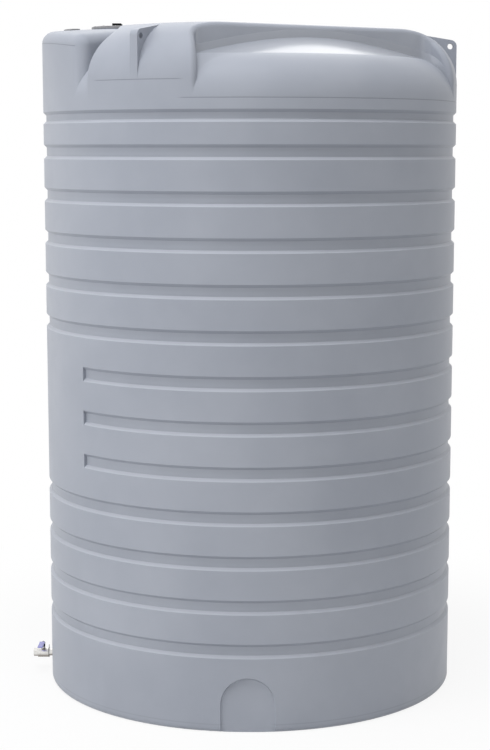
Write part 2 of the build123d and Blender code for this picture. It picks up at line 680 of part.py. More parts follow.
def gland_nut():
    """Nut that bears on the packing and carries the lever."""
    nut = hexagon(GLAND_AF, BOSS_TOP, GLAND_TOP - KNOB_CLEARANCE)
    return stem_place() * (nut - disc(STEM_R + RUNNING, BOSS_TOP - 1, GLAND_TOP + 1))


def lever_section(thickness):
    """Side outline of the pressed lever, running along -Y from the stem."""
    low, high = GLAND_TOP, GLAND_TOP + LEVER_RISE
    half = thickness / 2
    ramp_end = LEVER_BASE_L + LEVER_RAMP
    path = Polyline((-LEVER_BASE_L, low), (LEVER_BASE_L, low), (ramp_end, high), (LEVER_L, high))
    return Plane.YZ.rotated((0, 0, 180)) * (Pos(0, half) * trace(path, thickness))


def valve_lever():
    """Pressed steel lever with a hole for the stem's flats, closed towards -Y at rest."""
    blade = extrude(lever_section(LEVER_T), LEVER_W / 2, both=True)
    blade = blade.solid()
    hole = disc(STEM_R + RUNNING, GLAND_TOP - 1, GLAND_TOP + LEVER_T + 1) & Box(
        STEM_FLAT + 2 * RUNNING, 4 * STEM_R, 4 * STEM_TOP
    )
    return stem_place() * (blade - hole)


def lever_sleeve():
    """Blue grip pulled over the lever's straight end."""
    low, high = GLAND_TOP + LEVER_RISE, GLAND_TOP + LEVER_RISE + LEVER_T
    length = SLEEVE_L + SLEEVE_T
    middle_y = -(LEVER_L + SLEEVE_T - length / 2)
    grip = Pos(0, middle_y, (low + high) / 2) * Box(LEVER_W + 2 * SLEEVE_T, length, LEVER_T + 2 * SLEEVE_T)
    grip = fillet(grip.edges().filter_by(Axis.Y), SLEEVE_T)
    grip = fillet(grip.faces().sort_by(Axis.Y)[0].edges(), SLEEVE_T / 2)
    core = Pos(0, -(LEVER_L - SLEEVE_L), (low + high) / 2) * Box(LEVER_W, 2 * SLEEVE_L, LEVER_T)
    return stem_place() * (grip - core)


def lever_nut():
    """Nut on the stem's tip that holds the lever."""
    foot = GLAND_TOP + LEVER_T
    return stem_place() * (hexagon(LEVER_NUT_AF, foot, foot + LEVER_NUT_H) - disc(STEM_R, foot - 1, STEM_TOP))


def ring_seal(radius, start):
    """Rubber ring on the outlet's axis."""
    return outlet_tube(radius, OUTLET_CUT_R, start, start + SEAL_T)


def parts():
    """Every piece of the tank under its own name."""
    return {
        "tank_shell": tank_shell(),
        "inlet_gasket": inlet_gasket(),
        "inlet_ring": inlet_ring(),
        "ring_screws": ring_screws(),
        "strainer_basket": strainer_basket(),
        "inlet_lid": inlet_lid(),
        "lid_knob": lid_knob(),
        "latch_bar": latch_bar(),
        "knob_screw": knob_screw(),
        "port_grommet": port_grommet(),
        "port_plug": port_plug(),
        "inner_seal": ring_seal(INNER_SEAL_R, WALL_INSIDE - SEAL_T),
        "outlet_fitting": outlet_fitting(),
        "outer_seal": ring_seal(OUTER_SEAL_R, OUTLET_FACE),
        "outlet_backnut": outlet_backnut(),
        "outlet_nipple": outlet_nipple(),
        "nipple_locknut": nipple_locknut(),
        "valve_body": valve_body(),
        "valve_end_cap": valve_end_cap(),
        "valve_seats": valve_seats(),
        "valve_ball": valve_ball(),
        "valve_stem": valve_stem(),
        "stem_packing": stem_packing(),
        "gland_nut": gland_nut(),
        "valve_lever": valve_lever(),
        "lever_sleeve": lever_sleeve(),
        "lever_nut": lever_nut(),
    }


def main():
    """Write one STEP file for each piece."""
    os.makedirs("parts", exist_ok=True)
    for name, shape in parts().items():
        export_step(shape, f"parts/{name}.step")
        print(name, len(shape.solids()), round(shape.volume))


if __name__ == "__main__":
    main()
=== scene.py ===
"""Looks of a moulded plastic water tank with a strainer inlet and a ball valve outlet.

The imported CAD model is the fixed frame, in metres. Every piece made here rides on one of its
bodies, and every visible CAD node gets a procedural finish. Lengths are in metres and angles in
degrees, unless a name says otherwise. A noise pattern's scale is in features per metre.
"""

from __future__ import annotations

import logging
import math
from collections.abc import Iterable
from dataclasses import dataclass, field
from enum import Enum

import bmesh
import bpy
from mathutils import Matrix, Vector


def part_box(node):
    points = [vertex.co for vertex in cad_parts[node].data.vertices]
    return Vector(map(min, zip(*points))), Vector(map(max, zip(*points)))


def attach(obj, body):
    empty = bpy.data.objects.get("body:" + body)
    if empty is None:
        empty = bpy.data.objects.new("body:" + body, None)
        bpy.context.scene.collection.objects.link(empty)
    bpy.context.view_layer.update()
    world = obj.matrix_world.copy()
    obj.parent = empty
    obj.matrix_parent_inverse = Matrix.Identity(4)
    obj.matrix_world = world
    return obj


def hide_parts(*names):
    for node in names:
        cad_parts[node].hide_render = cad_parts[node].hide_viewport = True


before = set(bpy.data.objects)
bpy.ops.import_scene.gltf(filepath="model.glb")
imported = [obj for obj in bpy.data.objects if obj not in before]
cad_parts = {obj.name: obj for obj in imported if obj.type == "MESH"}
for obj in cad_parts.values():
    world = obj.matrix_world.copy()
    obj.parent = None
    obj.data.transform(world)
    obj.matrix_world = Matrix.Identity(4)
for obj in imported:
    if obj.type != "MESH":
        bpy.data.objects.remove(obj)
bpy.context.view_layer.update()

logging.basicConfig(level=logging.INFO, format="%(name)s: %(message)s")
LOG = logging.getLogger("water_tank")

Colour = tuple[float, float, float]

MM = 0.001
WHITE: Colour = (1.0, 1.0, 1.0)
TANK_RADIUS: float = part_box("tank_shell")[1].x


class Body(Enum):
    """Rigid bodies of the CAD model that pieces ride on."""

    TANK = "tank"
    HANDLE = "valve_handle"
    LATCH = "lid_latch"


class Finish(Enum):
    """Finishes that a piece can have, named as their materials are."""

    SHELL = "moulded_shell"
    GREY = "grey_plastic"
    BLACK = "black_plastic"
    BLUE = "blue_vinyl"
    WHITE = "white_seat"
    NICKEL = "nickel_plate"
    STEEL = "bright_steel"
    CHROME = "chrome_plate"
    RUBBER = "rubber"


FINISH_OF_NODE: dict[str, Finish] = {
    "inlet_gasket": Finish.RUBBER,
    "inlet_ring": Finish.GREY,
    "ring_screws": Finish.STEEL,
    "strainer_basket": Finish.GREY,
    "inlet_lid": Finish.GREY,
    "lid_knob": Finish.BLACK,
    "latch_bar": Finish.BLACK,
    "knob_screw": Finish.STEEL,
    "port_grommet": Finish.RUBBER,
    "port_plug": Finish.GREY,
    "inner_seal": Finish.RUBBER,
    "outlet_fitting": Finish.NICKEL,
    "outer_seal": Finish.RUBBER,
    "outlet_backnut": Finish.NICKEL,
    "outlet_nipple": Finish.NICKEL,
    "nipple_locknut": Finish.STEEL,
    "valve_body": Finish.NICKEL,
    "valve_end_cap": Finish.NICKEL,
    "valve_seats": Finish.WHITE,
    "valve_ball": Finish.CHROME,
    "valve_stem": Finish.NICKEL,
    "stem_packing": Finish.WHITE,
    "gland_nut": Finish.BLACK,
    "valve_lever": Finish.STEEL,
    "lever_sleeve": Finish.BLUE,
    "lever_nut": Finish.STEEL,
}


class Value:
    """A shader socket with operators, so that shader maths reads as plain arithmetic."""

    def __init__(self, nodes: Nodes, socket: bpy.types.NodeSocket) -> None:
        """Wrap an output socket of a tree that the given builder adds nodes to."""
        self.nodes = nodes
        self.socket = socket

    def math(self, operation: str, *others: Value | float) -> Value:
        """Result of one Math node on this value and other operands."""
        return self.nodes.math(operation, self, *others)

    def __add__(self, other: Value | float) -> Value:
        """Sum."""
        return self.math("ADD", other)

    __radd__ = __add__

    def __sub__(self, other: Value | float) -> Value:
        """Difference."""
        return self.math("SUBTRACT", other)

    def __rsub__(self, other: float) -> Value:
        """Difference from a plain number."""
        return self.nodes.math("SUBTRACT", other, self)

    def __mul__(self, other: Value | float) -> Value:
        """Product."""
        return self.math("MULTIPLY", other)

    __rmul__ = __mul__

    def __truediv__(self, other: Value | float) -> Value:
        """Quotient."""
        return self.math("DIVIDE", other)

    def __neg__(self) -> Value:
        """Opposite."""
        return self * -1.0

    def ramp(self, low: float, high: float) -> Value:
        """Smooth step from 0 at the low value to 1 at the high one.

        Args:
            low: Value that gives 0.
            high: Value that gives 1.

        Returns:
            The smooth step.
        """
        node = self.nodes.node(
            "ShaderNodeMapRange",
            {"interpolation_type": "SMOOTHSTEP"},
            {"Value": self, "From Min": low, "From Max": high},
        )
        return Value(self.nodes, node.outputs["Result"])


class Nodes:
    """Builds the nodes of one tree."""

    def __init__(self, tree: bpy.types.NodeTree) -> None:
        """Take over a tree and empty it."""
        self.tree = tree
        self.tree.nodes.clear()

    def node(self, kind: str, settings: dict | None = None, inputs: dict | None = None) -> bpy.types.Node:
        """Add a node of any kind.

        Args:
            kind: Blender's node type.
            settings: Attributes that are set first.
            inputs: Values or links of its sockets, by name or number.

        Returns:
            The new node.
        """
        node = self.tree.nodes.new(kind)
        for name, value in (settings or {}).items():
            setattr(node, name, value)
        for name, value in (inputs or {}).items():
            self.feed(node.inputs[name], value)
        return node

    def feed(self, socket: bpy.types.NodeSocket, value: object) -> None:
        """Link a value to a socket, or set it there.

        Args:
            socket: The input socket.
            value: A Value, an output socket, or a plain number, colour or vector.
        """
        if isinstance(value, Value):
            value = value.socket
        if isinstance(value, bpy.types.NodeSocket):
            self.tree.links.new(value, socket)
        elif socket.type == "RGBA":
            socket.default_value = (*value, 1.0)
        else:
            socket.default_value = value

    def math(self, operation: str, *operands: Value | float) -> Value:
        """Add a Math node.

        Args:
            operation: Blender's name of the operation.
            operands: Values or plain numbers, in order.

        Returns:
            The node's result.
        """
        node = self.node("ShaderNodeMath", {"operation": operation}, dict(enumerate(operands)))
        return Value(self, node.outputs[0])

    def seen_by(self, *rays: str) -> Value:
        """Tell some kinds of ray from the rest.

        Args:
            rays: Outputs of the Light Path node.

        Returns:
            1 for a ray of one of these kinds and 0 for any other.
        """
        paths = self.node("ShaderNodeLightPath")
        seen = Value(self, paths.outputs[rays[0]])
        for ray in rays[1:]:
            seen = seen.math("MAXIMUM", Value(self, paths.outputs[ray]))
        return seen


class Shader(Nodes):
    """Builds one material around a Principled shader."""

    edge_samples: int = 6

    def __init__(self, name: str) -> None:
        """Start a material that shows its Principled shader.

        Args:
            name: The material's name.
        """
        self.material = bpy.data.materials.new(name)
        self.material.use_nodes = True
        super().__init__(self.material.node_tree)
        self.principled = self.node("ShaderNodeBsdfPrincipled")
        surface = self.principled.outputs["BSDF"]
        self.output = self.node("ShaderNodeOutputMaterial", inputs={"Surface": surface})

    def place(self, centre: Vector | None = None) -> bpy.types.NodeSocket:
        """Object coordinates, counted from a centre if one is given.

        Args:
            centre: The pattern's centre.

        Returns:
            The vector socket.
        """
        coordinates = self.node("ShaderNodeTexCoord").outputs["Object"]
        if centre is None:
            return coordinates
        inputs = {"Vector": coordinates, "Location": tuple(-centre)}
        return self.node("ShaderNodeMapping", inputs=inputs).outputs["Vector"]

    def axis(self, name: str, place: bpy.types.NodeSocket | None = None) -> Value:
        """Coordinate X, Y or Z of a vector, or of the plain object coordinates."""
        split = self.node("ShaderNodeSeparateXYZ", inputs={"Vector": place or self.place()})
        return Value(self, split.outputs[name])

    def radius(self) -> Value:
        """Distance from the tank's upright axis."""
        across, along = self.axis("X"), self.axis("Y")
        return (across * across + along * along).math("SQRT")

    def upward(self) -> Value:
        """How far the surface faces up, from -1 to 1."""
        return self.axis("Z", self.node("ShaderNodeTexCoord").outputs["Normal"])

    def noise(self, scale: float, detail: float, place: bpy.types.NodeSocket | None = None) -> Value:
        """Fractal noise between about 0 and 1.

        Args:
            scale: Features per metre.
            detail: Octaves.
            place: The vector, or None for plain object coordinates.

        Returns:
            The noise.
        """
        inputs = {"Vector": place or self.place(), "Scale": scale, "Detail": detail}
        return Value(self, self.node("ShaderNodeTexNoise", inputs=inputs).outputs[0])

    def mix(self, factor: Value | float, first: object, second: object) -> bpy.types.NodeSocket:
        """Blend two colours.

        Args:
            factor: 0 gives the first and 1 the second.
            first: A colour or a colour socket.
            second: A colour or a colour socket.

        Returns:
            The colour socket.
        """
        node = self.node("ShaderNodeMix", {"data_type": "RGBA"}, {"Factor": factor})
        sockets = [socket for socket in node.inputs if socket.type == "RGBA"]
        for socket, colour in zip(sockets, (first, second)):
            self.feed(socket, colour)
        return next(socket for socket in node.outputs if socket.type == "RGBA")

    def soft_edges(self, radius: float) -> bpy.types.NodeSocket:
        """Normal that rounds every edge by a radius."""
        node = self.node("ShaderNodeBevel", {"samples": self.edge_samples}, {"Radius": radius})
        return node.outputs["Normal"]

    def bump(self, height: Value, normal: bpy.types.NodeSocket | None = None) -> None:
        """Feed the Principled shader's normal from a height.

        Args:
            height: The height in metres.
            normal: A normal to start from.
        """
        inputs = {"Height": height, "Distance": 1.0, "Strength": 1.0}
        if normal is not None:
            inputs["Normal"] = normal
        self.set(Normal=self.node("ShaderNodeBump", inputs=inputs).outputs["Normal"])

    def set(self, **inputs: object) -> None:
        """Set or link the Principled shader's sockets, with spaces written as underscores."""
        for name, value in inputs.items():
            self.feed(self.principled.inputs[name.replace("_", " ")], value)


@dataclass(frozen=True)
class Pattern:
    """A noise pattern, and how it tints a finish."""

    scale: float
    detail: float
    low: float = 0.0
    high: float = 1.0
    share: float = 1.0

    def noise(self, shader: Shader, place: bpy.types.NodeSocket | None = None) -> Value:
        """The plain noise."""
        return shader.noise(self.scale, self.detail, place)

    def tint(self, noise: Value) -> Value:
        """Share of the second colour at each level of the noise."""
        return noise.ramp(self.low, self.high) * self.share


@dataclass(frozen=True)
class MouldedShell:
    """Satin polyethylene skin of the tank, as it leaves its mould."""

    finish: Finish = Finish.SHELL

    # Colours, and the noise that varies them
    colour: Colour = (0.352, 0.376, 0.432)
    pale: Colour = (0.372, 0.396, 0.452)
    deep: Colour = (0.330, 0.354, 0.410)
    # Colour of the painted shade on the crease lines, the downward lips and the foot
    stain_and_shade: Colour = (0.205, 0.222, 0.262)
    # Colour of the painted highlight on the upward lips
    lip_highlight_colour: Colour = (0.49, 0.515, 0.575)
    cloud: Pattern = Pattern(scale=1.4, detail=4.0, low=0.35, high=0.65)
    flow: Pattern = Pattern(scale=9.0, detail=5.0, low=0.42, high=0.62, share=0.35)
    speckle: Pattern = Pattern(scale=420.0, detail=2.0, low=0.55, high=0.75, share=0.12)
    peel: Pattern = Pattern(scale=160.0, detail=3.0)
    wave: Pattern = Pattern(scale=3.2, detail=1.0)

    # Sheen
    roughness: float = 0.42
    flow_roughness: float = 0.10
    speckle_roughness: float = 0.06
    specular: float = 0.45
    coat_roughness: float = 0.15

    # Relief, and the fine crease lines, darkened with painted shade
    peel_rise: float = 0.10 * MM
    speckle_rise: float = 0.05 * MM
    wave_rise: float = 1.6 * MM
    crease_depth: float = 0.6 * MM
    # Share of painted shade that darkens the crease lines
    crease_shade: float = 0.75
    crease_core: float = 1.0 * MM
    crease_edge: float = 3.2 * MM

    # Shelves cut into the roof, and the walls behind them
    bite_azimuth: float = 30.0
    bite_distance: float = 0.640
    bite_half_width: float = 0.670
    bite_flare: float = 20.3
    corner_radius: float = 60 * MM
    wall_fade: float = 3 * MM
    shelf_rim: float = 0.9256
    shelf_slope: float = 17.9
    shoulder_radius: float = 0.223
    blend: float = 150 * MM
    blend_end: float = 10 * MM

    # Heights of the lines, and the parts of the roof that each belongs to
    shelf_crease: float = 3.073
    lobe_crease: float = 3.160
    platform_crease: float = 3.390
    platform_axis: float = -0.692
    platform_edge: float = -0.62
    platform_fade: float = 10 * MM
    dome_radius: float = 4.0
    lobe_count: int = 3
    lobe_azimuth: float = -30.0
    lobe_share: float = 0.74
    lobe_fade: float = 0.08
    rim_fade: tuple[float, float] = (6 * MM, 3 * MM)

    # Painted highlight and shade on the barrel's lips, and painted shade at the foot
    barrel_fade: tuple[float, float] = (0.90, 0.95)
    neck_fade: float = 60 * MM
    lip_slant: tuple[float, float] = (0.2, 0.6)
    lip_highlight_share: float = 0.6
    lip_shade_share: float = 0.45
    foot_band: float = 40 * MM
    foot_shade_share: float = 0.5
    foot_line_shade_share: float = 0.3
    foot_line_fade: tuple[float, float] = (1 * MM, 5 * MM)
    recess_fade: tuple[float, float] = (14 * MM, 8 * MM)

    def wall_distance(self, shader: Shader) -> Value:
        """Distance on a shelf from the upright wall behind it.

        The two shelves mirror each other, so one formula on the size of Y serves both.

        Args:
            shader: The material's builder.

        Returns:
            The distance, below 0 on the lobes and the plateau.
        """
        across = shader.axis("X")
        along = shader.axis("Y").math("ABSOLUTE")
        turn = math.radians(self.bite_azimuth)
        back = across * math.sin(turn) + along * math.cos(turn) - self.bite_distance
        aside = (across * math.cos(turn) - along * math.sin(turn)).math("ABSOLUTE")
        flare = math.radians(self.bite_flare)
        side = (self.bite_half_width + back * math.tan(flare) - aside) * math.cos(flare)
        return shader.math("SMOOTH_MIN", back, side, self.corner_radius)

    def flat_shelf(self, shader: Shader, wall: Value) -> Value:
        """The flatter inner part of each shelf, which keeps the mould's polish.

        Args:
            shader: The material's builder.
            wall: Distance from the wall behind the shelf.

        Returns:
            1 on the polished part and 0 elsewhere.
        """
        beyond = shader.radius().ramp(self.shelf_rim - self.wall_fade, self.shelf_rim + self.wall_fade)
        return (1.0 - beyond) * wall.ramp(-self.wall_fade, self.wall_fade / 3)

    def hollows(self, shader: Shader, wall: Value) -> Value:
        """Height of the soft hollow where each shelf runs up into its wall.

        The shelf is a cone inside its rim and a round shoulder outside it. The hollow is a parabola
        that starts at the blend's width from the wall and gets narrower towards the barrel.

        Args:
            shader: The material's builder.
            wall: Distance from the wall behind the shelf.

        Returns:
            The height.
        """
        radius = shader.radius()
        reach = radius.math("MAXIMUM", self.shelf_rim) - (TANK_RADIUS - self.shoulder_radius)
        shoulder = (self.shoulder_radius**2 - reach * reach).math("MAXIMUM", 0.0).math("SQRT")
        cone = (self.shelf_rim - radius).math("MAXIMUM", 0.0) * math.tan(math.radians(self.shelf_slope))
        off_shelf = (shader.axis("Z") - (self.shelf_crease + shoulder + cone)).math("ABSOLUTE")
        near = (1.0 - off_shelf / (self.blend / 4)).math("MAXIMUM", 0.0)
        blend = (1.0 - radius.ramp(self.shelf_rim, TANK_RADIUS - self.blend_end)) * self.blend
        inward = (blend - wall).math("MAXIMUM", 0.0)
        rise = inward * inward / (blend.math("MAXIMUM", MM) * 4.0)
        return rise * near * wall.ramp(-self.wall_fade, -self.wall_fade / 3)

    def creases(self, shader: Shader) -> Value:
        """Fine crease lines where the shoulders of the shelves, lobes and platform start, which get a shallow
        groove and painted shade.

        Args:
            shader: The material's builder.

        Returns:
            1 on a line and 0 away from it.
        """
        across, along, height = (shader.axis(name) for name in "XYZ")
        outer, inner = self.rim_fade
        on_rim = shader.radius().ramp(TANK_RADIUS - outer, TANK_RADIUS - inner)
        azimuth = across.math("ARCTAN2", -along) - math.radians(self.lobe_azimuth)
        lobes = (azimuth * float(self.lobe_count)).math("COSINE")
        on_lobe = lobes.ramp(self.lobe_share, self.lobe_share + self.lobe_fade)
        on_platform = 1.0 - across.ramp(self.platform_edge - self.platform_fade, self.platform_edge)
        reach = across - self.platform_axis
        dome = height + (reach * reach + along * along) / (2 * self.dome_radius)

        def line(level: Value, crease: float) -> Value:
            """1 where a level is within the line's width of its crease."""
            return 1.0 - (level - crease).math("ABSOLUTE").ramp(self.crease_core, self.crease_edge)

        shelf = line(height, self.shelf_crease) * (1.0 - on_lobe) * (1.0 - on_platform)
        lobe = line(height, self.lobe_crease) * on_lobe
        platform = line(dome, self.platform_crease) * on_platform
        return (shelf + lobe + platform) * on_rim

    def wear_and_painted_light(self, shader: Shader, colour: bpy.types.NodeSocket) -> bpy.types.NodeSocket:
        """Paint a highlight on the upward lips of the ring recesses, and shade on the downward lips and at
        the foot.

        Args:
            shader: The material's builder.
            colour: The plain colour.

        Returns:
            The colour with its painted highlight and shade.
        """
        radius, height, upward = shader.radius(), shader.axis("Z"), shader.upward()
        below_shelves = 1.0 - height.ramp(self.shelf_crease - self.neck_fade, self.shelf_crease)
        on_barrel = radius.ramp(*self.barrel_fade) * below_shelves
        # Upward lips get a painted highlight and downward lips painted shade, on the barrel only.
        lip_highlight = upward.ramp(*self.lip_slant) * on_barrel * self.lip_highlight_share
        lip_shade = (-upward).ramp(*self.lip_slant) * on_barrel * self.lip_shade_share
        # Painted shade at the foot: darker towards the floor, with a dark line at the band's top, outside the
        # recesses.
        line = 1.0 - (height - self.foot_band).math("ABSOLUTE").ramp(*self.foot_line_fade)
        foot = (1.0 - height.ramp(0.0, self.foot_band)) * self.foot_shade_share
        inner, outer = self.recess_fade
        outside = radius.ramp(TANK_RADIUS - inner, TANK_RADIUS - outer)
        foot = foot.math("MAXIMUM", line * self.foot_line_shade_share) * outside
        colour = shader.mix(lip_highlight, colour, self.lip_highlight_colour)
        return shader.mix(lip_shade.math("MAXIMUM", foot), colour, self.stain_and_shade)

    def build(self) -> bpy.types.Material:
        """Make the material.

        Returns:
            The material.
        """
        shader = Shader(self.finish.value)
        cloud, flow, speckle = (part.noise(shader) for part in (self.cloud, self.flow, self.speckle))
        peel, wave = (part.noise(shader) for part in (self.peel, self.wave))
        creases = self.creases(shader)
        wall = self.wall_distance(shader)

        colour = shader.mix(self.cloud.tint(cloud), self.deep, self.pale)
        colour = shader.mix(self.flow.tint(flow), colour, self.colour)
        colour = shader.mix(self.speckle.tint(speckle), colour, self.deep)
        # Painted shade darkens the crease lines.
        colour = shader.mix(creases * self.crease_shade, colour, self.stain_and_shade)
        # Painted highlight and shade on the barrel's lips and at the foot.
        colour = self.wear_and_painted_light(shader, colour)
        rough = self.roughness + (flow - 0.5) * self.flow_roughness + (speckle - 0.5) * self.speckle_roughness
        shader.set(Base_Color=colour, Roughness=rough, Specular_IOR_Level=self.specular)
        shader.set(Coat_Weight=self.flat_shelf(shader, wall), Coat_Roughness=self.coat_roughness)

        height = (peel - 0.5) * self.peel_rise + (speckle - 0.5) * self.speckle_rise
        height = height + (wave - 0.5) * self.wave_rise - creases * self.crease_depth
        shader.bump(height + self.hollows(shader, wall))
        return shader.material


@dataclass(frozen=True)
class MouldedFitting:
    """Moulded plastic of a small fitting."""

    finish: Finish
    colour: Colour
    wear_and_painted_light: Colour
    roughness: float = 0.42
    specular: float = 0.5
    cloud: Pattern = Pattern(scale=24.0, detail=3.0, low=0.4, high=0.7, share=0.5)
    cloud_roughness: float = 0.12
    grain: Pattern = Pattern(scale=900.0, detail=2.0)
    grain_roughness: float = 0.10
    grain_rise: float = 0.06 * MM
    edge_radius: float = 1.2 * MM

    def build(self) -> bpy.types.Material:
        """Make the material.

        Returns:
            The material.
        """
        shader = Shader(self.finish.value)
        cloud, grain = self.cloud.noise(shader), self.grain.noise(shader)
        colour = shader.mix(self.cloud.tint(cloud), self.colour, self.wear_and_painted_light)
        rough = self.roughness + (cloud - 0.5) * self.cloud_roughness + (grain - 0.5) * self.grain_roughness
        shader.set(Base_Color=colour, Roughness=rough, Specular_IOR_Level=self.specular)
        shader.bump(grain * self.grain_rise, shader.soft_edges(self.edge_radius))
        return shader.material


@dataclass(frozen=True)
class PlatedMetal:
    """Plated or polished metal with fine turning marks along X, and painted shade where it faces down."""

    finish: Finish
    centre: Vector
    colour: Colour
    stain_and_shade: Colour
    roughness: float = 0.24
    blotch: Pattern = Pattern(scale=90.0, detail=4.0, low=0.45, high=0.75, share=0.6)
    blotch_roughness: float = 0.16
    # Colour of the painted shade on downward faces
    underside_shade: Colour = (0.20, 0.175, 0.15)
    underside_shade_slant: tuple[float, float] = (-0.1, 0.6)
    underside_shade_share: float = 0.85
    turning: float = 2600.0
    turning_roughness: float = 0.02
    turning_rise: float = 0.0075 * MM
    fine: Pattern = Pattern(scale=700.0, detail=2.0)
    fine_rise: float = 0.012 * MM
    edge_radius: float = 0.5 * MM

    def build(self) -> bpy.types.Material:
        """Make the material.

        Returns:
            The material.
        """
        shader = Shader(self.finish.value)
        place = shader.place(self.centre)
        blotch, fine = self.blotch.noise(shader, place), self.fine.noise(shader, place)
        marks = (shader.axis("X", place) * self.turning).math("SINE")
        # Painted shade on faces that point down.
        underside_shade = (-shader.upward()).ramp(*self.underside_shade_slant) * self.underside_shade_share
        colour = shader.mix(self.blotch.tint(blotch), self.colour, self.stain_and_shade)
        colour = shader.mix(underside_shade, colour, self.underside_shade)
        rough = self.roughness + (blotch - 0.5) * self.blotch_roughness + marks * self.turning_roughness
        shader.set(Base_Color=colour, Roughness=rough, Metallic=1.0)
        height = marks * self.turning_rise + fine * self.fine_rise
        shader.bump(height, shader.soft_edges(self.edge_radius))
        return shader.material


@dataclass(frozen=True)
class Rubber:
    """Dull black rubber with a little dust."""

    finish: Finish = Finish.RUBBER
    colour: Colour = (0.018, 0.018, 0.019)
    bloom: Colour = (0.05, 0.05, 0.052)
    roughness: float = 0.72
    dust: Pattern = Pattern(scale=60.0, detail=4.0, low=0.45, high=0.8)
    dust_roughness: float = 0.2
    grain: Pattern = Pattern(scale=1500.0, detail=2.0)
    grain_rise: float = 0.05 * MM

    def build(self) -> bpy.types.Material:
        """Make the material.

        Returns:
            The material.
        """
        shader = Shader(self.finish.value)
        dust = self.dust.noise(shader)
        colour = shader.mix(self.dust.tint(dust), self.colour, self.bloom)
        shader.set(Base_Color=colour, Roughness=self.roughness + (dust - 0.5) * self.dust_roughness)
        shader.bump(self.grain.noise(shader) * self.grain_rise)
        return shader.material


def make_finishes(centre: Vector) -> dict[Finish, bpy.types.Material]:
    """Build every material once.

    Args:
        centre: Centre of the turning marks on the valve.

    Returns:
        The material of each finish.
    """
    looks = (
        MouldedShell(),
        MouldedFitting(Finish.GREY, colour=(0.27, 0.27, 0.28), wear_and_painted_light=(0.32, 0.32, 0.33)),
        MouldedFitting(
            Finish.BLACK,
            colour=(0.004, 0.004, 0.005),
            wear_and_painted_light=(0.010, 0.010, 0.012),
            roughness=0.5,
            specular=0.15,
        ),
        MouldedFitting(Finish.BLUE, colour=(0.31, 0.31, 0.66), wear_and_painted_light=(0.36, 0.36, 0.70), roughness=0.30),
        MouldedFitting(Finish.WHITE, colour=(0.82, 0.82, 0.80), wear_and_painted_light=(0.78, 0.78, 0.76), roughness=0.34),
        PlatedMetal(Finish.NICKEL, centre, colour=(0.80, 0.79, 0.77), stain_and_shade=(0.64, 0.63, 0.60)),
        PlatedMetal(
            Finish.STEEL,
            centre,
            colour=(0.46, 0.46, 0.45),
            stain_and_shade=(0.38, 0.37, 0.35),
            roughness=0.3,
        ),
        PlatedMetal(
            Finish.CHROME,
            centre,
            colour=(0.80, 0.80, 0.80),
            stain_and_shade=(0.74, 0.74, 0.74),
            roughness=0.08,
        ),
        Rubber(),
    )
    return {look.finish: look.build() for look in looks}


@dataclass
class SubAssembly:
    """Common work of the classes that build pieces."""

    finishes: dict[Finish, bpy.types.Material]
    smooth_angle: float = 30.0
    merge_distance: float = 0.01 * MM
    made: list[str] = field(default_factory=list, init=False)

    def finish_mesh(self, name: str, mesh: bmesh.types.BMesh, finish: Finish, body: Body) -> bpy.types.Object:
        """Turn a bmesh into a shaded piece that rides on a body.

        Args:
            name: The piece's name.
            mesh: The geometry, which is freed here.
            finish: The finish that it is dressed in.
            body: The body that it rides on.

        Returns:
            The new object.
        """
        for face in mesh.faces:
            face.smooth = True
        for edge in mesh.edges:
            edge.smooth = edge.calc_face_angle(0.0) < math.radians(self.smooth_angle)
        data = bpy.data.meshes.new(name)
        mesh.to_mesh(data)
        mesh.free()
        piece = bpy.data.objects.new(name, data)
        bpy.context.scene.collection.objects.link(piece)
        data.materials.append(self.finishes[finish])
        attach(piece, body.value)
        self.made.append(name)
        LOG.info("made %s with %d faces", name, len(data.polygons))
        return piece

    def merged_copy(self, node: str, finish: Finish, body: Body) -> bpy.types.Object:
        """Let a merged and smoothly shaded copy stand for a CAD node.

        Args:
            node: The CAD node's name.
            finish: The copy's finish.
            body: The body that the node belongs to.

        Returns:
            The copy.
        """
        mesh = bmesh.new()
        mesh.from_mesh(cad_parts[node].data)
        bmesh.ops.remove_doubles(mesh, verts=mesh.verts, dist=self.merge_distance)
        copy = self.finish_mesh(f"{node}_skin", mesh, finish, body)
        # The corner normals that come with the CAD mesh would keep its facets.
        copy.data.attributes.remove(copy.data.attributes["custom_normal"])
        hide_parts(node)
        return copy

    @staticmethod
    def profile(mesh: bmesh.types.BMesh, points: Iterable[tuple[float, float, float]]) -> list:
        """Add an open row of points joined by edges, to be spun.

        Args:
            mesh: The mesh that gets the row.
            points: The points in order.

        Returns:
            The row's vertices and edges.
        """
        row = [mesh.verts.new(point) for point in points]
        return row + [mesh.edges.new(pair) for pair in zip(row, row[1:])]

    @staticmethod
    def block(mesh: bmesh.types.BMesh, size: tuple[float, float, float], place: Matrix) -> None:
        """Add a block of a size, with its middle at a place."""
        bmesh.ops.create_cube(mesh, size=1.0, matrix=place @ Matrix.Diagonal((*size, 1.0)))

    @staticmethod
    def round_edges(mesh: bmesh.types.BMesh, radius: float, segments: int) -> None:
        """Round every edge of a mesh.

        Args:
            mesh: The mesh.
            radius: How far the rounding reaches from each edge.
            segments: Number of facets over each edge.
        """
        bmesh.ops.bevel(
            mesh,
            geom=mesh.edges,
            offset=radius,
            segments=segments,
            profile=0.5,
            affect="EDGES",
            material=-1,
        )


@dataclass
class TankShell(SubAssembly):
    """The big moulding: a merged, smoothly shaded copy of the CAD shell."""

    def build(self) -> None:
        """Copy the CAD shell, merge its loose triangles and let the copy stand for it."""
        skin = self.merged_copy("tank_shell", Finish.SHELL, Body.TANK)


@dataclass
class Fittings(SubAssembly):
    """Every smaller CAD node that keeps its own shape."""

    def build(self) -> None:
        """Dress each node in its finish."""
        for node, finish in FINISH_OF_NODE.items():
            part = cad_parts[node]
            part.data.materials.clear()
            part.data.materials.append(self.finishes[finish])
            LOG.info("dressed %s in %s", node, finish.value)


